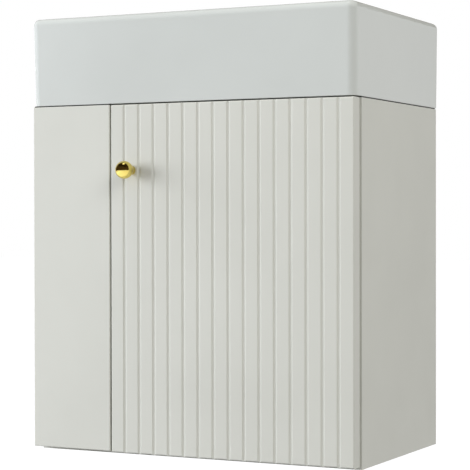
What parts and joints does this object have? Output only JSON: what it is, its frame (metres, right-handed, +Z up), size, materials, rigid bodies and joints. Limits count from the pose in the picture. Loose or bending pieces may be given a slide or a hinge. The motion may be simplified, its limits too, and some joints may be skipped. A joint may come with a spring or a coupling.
{
  "type": "wall-hung bathroom vanity unit",
  "caption": "Wall-hung bathroom vanity: deep ceramic basin that caps a small white cabinet, with a fixed filler panel and a fluted door hung at the right on concealed hinges, brass ball knob.",
  "frame": {"origin": "on the wall plane, midway between the two wall-fixing holes of the hanging rail", "axes": "+X to the right as one faces the unit, +Y into the wall, +Z up"},
  "size_m": [0.4028, 0.2755, 0.4961],
  "materials": {
    "glaze": "gloss",
    "painted_board": "painted satin",
    "seal": "matt",
    "brass": "polished",
    "zinc": "die-cast",
    "beech": "raw",
    "bumper": "soft",
    "plated_steel": "zinc plated",
    "nickel": "nickel plated",
    "steel_pin": "bright"
  },
  "bodies": {
    "carcass": {"basin": "glaze", "basin_seal": "seal", "side_panel_left": "painted_board", "side_panel_right": "painted_board", "bottom_panel": "painted_board", "front_rail": "painted_board", "hanging_rail": "painted_board", "lower_rail": "painted_board", "cam_locks": "zinc", "cam_bolts": "zinc", "dowels": "beech", "filler_panel": "painted_board", "filler_post": "painted_board", "filler_screws": "plated_steel", "filler_brackets": "plated_steel", "bracket_screws": "plated_steel", "door_bumpers": "bumper", "hinge_arm_lower": "nickel", "hinge_arm_upper": "nickel", "hinge_plate_lower": "nickel", "hinge_plate_upper": "nickel", "plate_screws": "plated_steel", "arm_screws": "plated_steel", "arm_pins": "steel_pin"},
    "outer_links": {"outer_link_lower": "nickel", "outer_link_upper": "nickel"},
    "door": {"door_panel": "painted_board", "knob_ball": "brass", "knob_stem": "brass", "knob_screw": "plated_steel", "hinge_cup_lower": "nickel", "hinge_cup_upper": "nickel", "cup_screws": "plated_steel", "cup_pins": "steel_pin"},
    "inner_links": {"inner_link_lower": "nickel", "inner_link_upper": "nickel", "slide_pins": "steel_pin"}
  },
  "joints": [
    {"name": "link_swing", "type": "hinge", "parent": "carcass", "child": "outer_links", "pos_m": [0.16904, -0.2073, -0.15085], "axis": [0, 0, 1], "range_deg": [-20.72, 0]},
    {"name": "door_swing", "type": "hinge", "parent": "outer_links", "child": "door", "pos_m": [0.19055, -0.235, -0.15085], "axis": [0, 0, 1], "range_deg": [0, 115.71]},
    {"name": "inner_link_swing", "type": "hinge", "parent": "door", "child": "inner_links", "pos_m": [0.18707, -0.2395, -0.15085], "axis": [0, 0, 1], "range_deg": [-106.98, 0]}
  ],
  "couplings": [
    {"joint": "link_swing", "follows": "door_swing", "ratio": -0.17898},
    {"joint": "inner_link_swing", "follows": "door_swing", "ratio": -0.92447}
  ]
}
